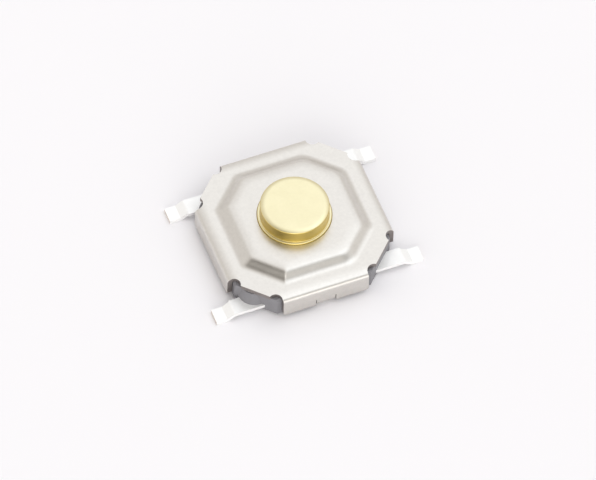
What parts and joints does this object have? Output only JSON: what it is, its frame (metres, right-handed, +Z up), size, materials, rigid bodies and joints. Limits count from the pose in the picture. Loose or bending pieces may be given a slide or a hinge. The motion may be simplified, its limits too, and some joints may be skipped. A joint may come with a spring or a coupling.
{
  "type": "tactile push button switch",
  "caption": "Flat surface-mount tactile push button switch: round metal button in a raised octagonal sheet-metal cover over a moulded base with flat bent leads.",
  "frame": {"origin": "middle of the footprint, on the plane of the undersides of the four lead feet", "axes": "+Z up out of the board along the button's travel, +X along the leads, +Y across them"},
  "size_m": [0.0064, 0.0052, 0.0016],
  "materials": {
    "moulded_plastic": "moulded, matt, very dark grey",
    "cover_sheet": "satin nickel-plated stamped steel, warm grey",
    "button_brass": "pale polished brass with a soft satin top",
    "film_plastic": "thin amber insulating film",
    "dome_steel": "bright spring steel",
    "tinned_strip": "bright tin plating, bare copper alloy on the cut ends"
  },
  "bodies": {
    "housing": {"base": "moulded_plastic", "cover": "cover_sheet", "film": "film_plastic", "dome": "dome_steel", "terminal_common": "tinned_strip", "terminal_switched": "tinned_strip"},
    "button": {"button": "button_brass"}
  },
  "joints": [
    {"name": "button_press", "type": "slide", "parent": "housing", "child": "button", "axis": [0, 0, -1], "range_m": [0, 0.00025], "stiffness_N_per_m": 6400, "deforming": ["dome", "film"]}
  ]
}
